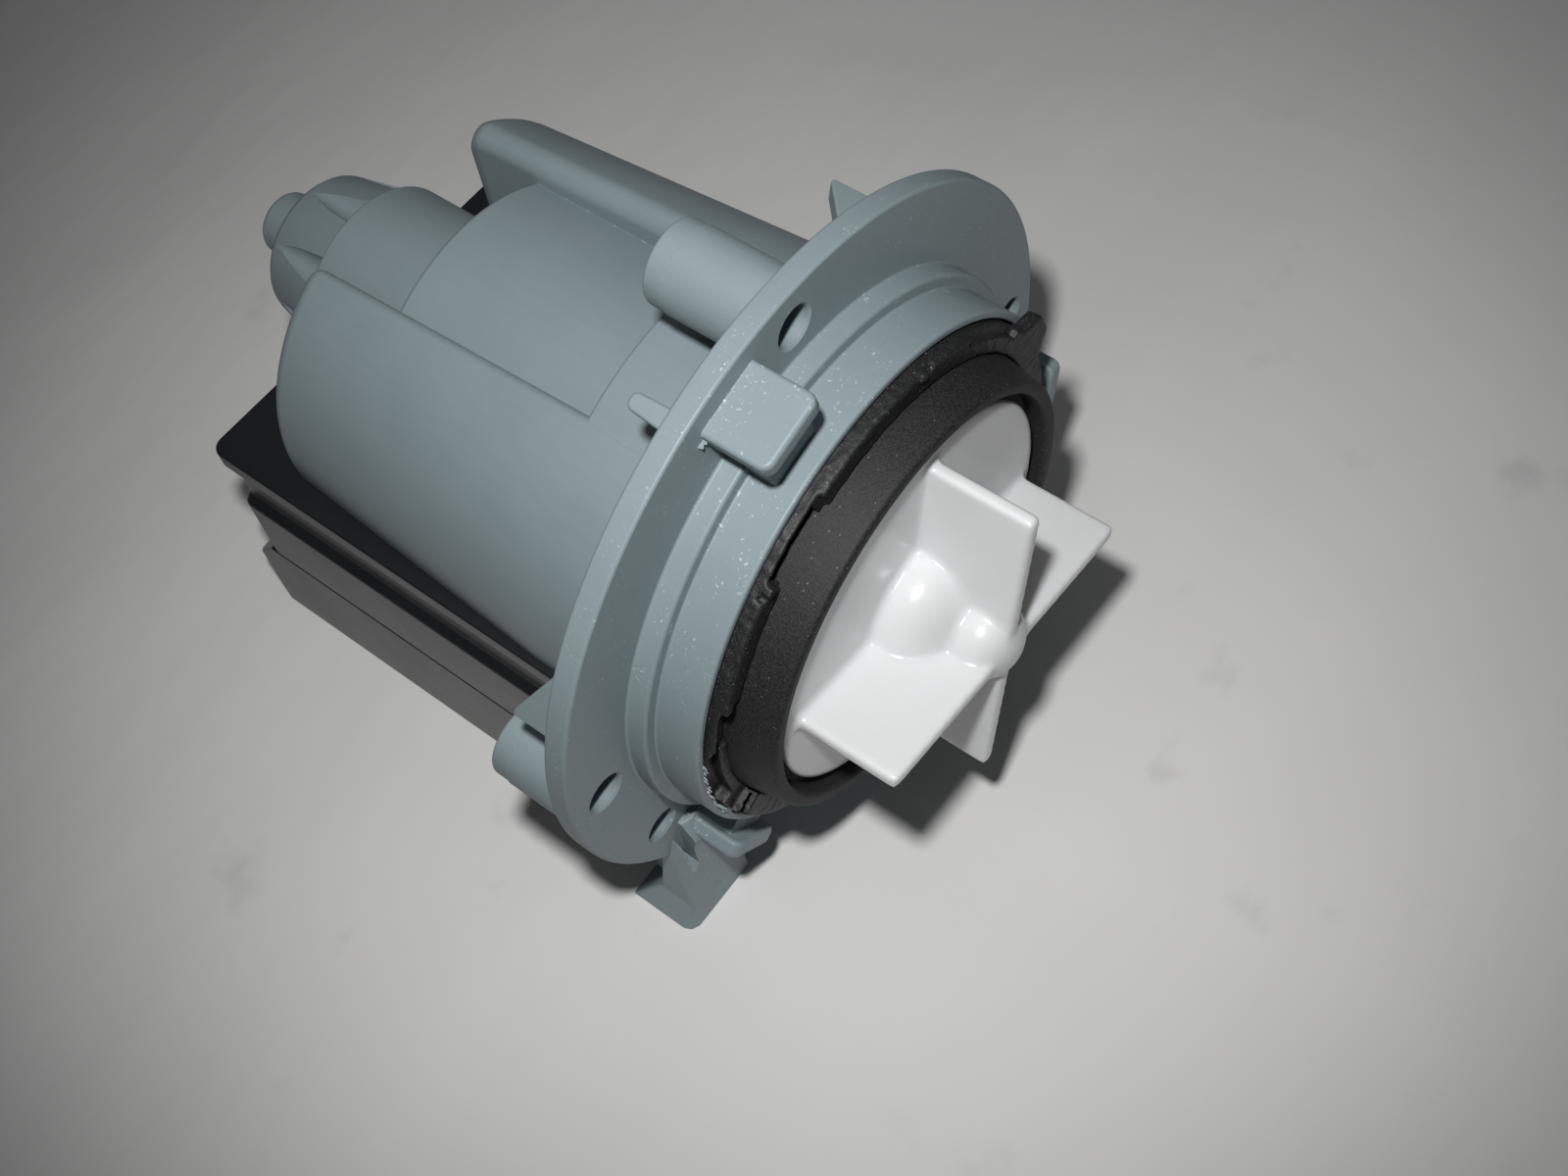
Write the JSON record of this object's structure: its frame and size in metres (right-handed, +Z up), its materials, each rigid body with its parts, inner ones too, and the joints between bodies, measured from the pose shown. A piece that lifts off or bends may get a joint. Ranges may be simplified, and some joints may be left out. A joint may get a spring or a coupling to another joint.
{
  "type": "washer drain pump",
  "caption": "Magnet-rotor drain pump: blue-grey housing with a bolt flange and bayonet lugs, black stator case, cupped front cover and white four-bladed impeller.",
  "frame": {"origin": "on the pump axis, in the front face of the mounting flange", "axes": "-Y along the pump axis towards the impeller, +Y towards the rear button, +Z up from the surface the pump rests on, +X to the right seen from the front"},
  "size_m": [0.092, 0.12, 0.0923],
  "materials": {
    "housing_blue_grey": "satin moulded plastic",
    "case_black": "smooth black moulded plastic",
    "cover_black": "glass-filled black plastic with a speckled skin",
    "core_steel": "laminated electrical steel",
    "steel": "bright steel",
    "nylon": "natural nylon",
    "copper": "enamelled copper wire",
    "brass": "tinned brass",
    "rubber_black": "moulded rubber",
    "bush_carbon": "carbon-filled bearing",
    "magnet_ferrite": "sintered ferrite",
    "impeller_white": "glossy white plastic, slightly translucent"
  },
  "bodies": {
    "housing": {"motor_housing": "housing_blue_grey", "rotor_can": "housing_blue_grey", "stator_case": "case_black", "base_cover": "case_black", "stator_core": "core_steel", "core_rivets": "steel", "coil_bobbin_left": "nylon", "coil_bobbin_right": "nylon", "coil_winding_left": "copper", "coil_winding_right": "copper", "terminal_socket": "case_black", "terminal_tab_left": "brass", "terminal_tab_right": "brass", "thermal_cutout": "nylon", "case_screws": "steel", "front_cover": "cover_black", "front_gasket": "rubber_black", "can_o_ring": "rubber_black", "cover_o_ring": "rubber_black", "front_bush_mount": "rubber_black", "front_bush": "bush_carbon", "rear_bush_mount": "rubber_black", "rear_bush": "bush_carbon", "shaft_seal": "rubber_black"},
    "rotor": {"rotor_shaft": "steel", "magnet_rotor": "magnet_ferrite", "rotor_cap_front": "nylon", "rotor_cap_rear": "nylon", "thrust_washer_front": "steel", "thrust_washer_rear": "steel", "drive_dog": "nylon"},
    "impeller": {"impeller": "impeller_white", "dog_buffers": "rubber_black"}
  },
  "joints": [
    {"name": "rotor_spin", "type": "hinge", "parent": "housing", "child": "rotor", "pos_m": [0, 0, 0], "axis": [0, 1, 0], "continuous": true},
    {"name": "impeller_play", "type": "hinge", "parent": "rotor", "child": "impeller", "pos_m": [0, 0, 0], "axis": [0, 1, 0], "range_deg": [-106, 106]}
  ]
}
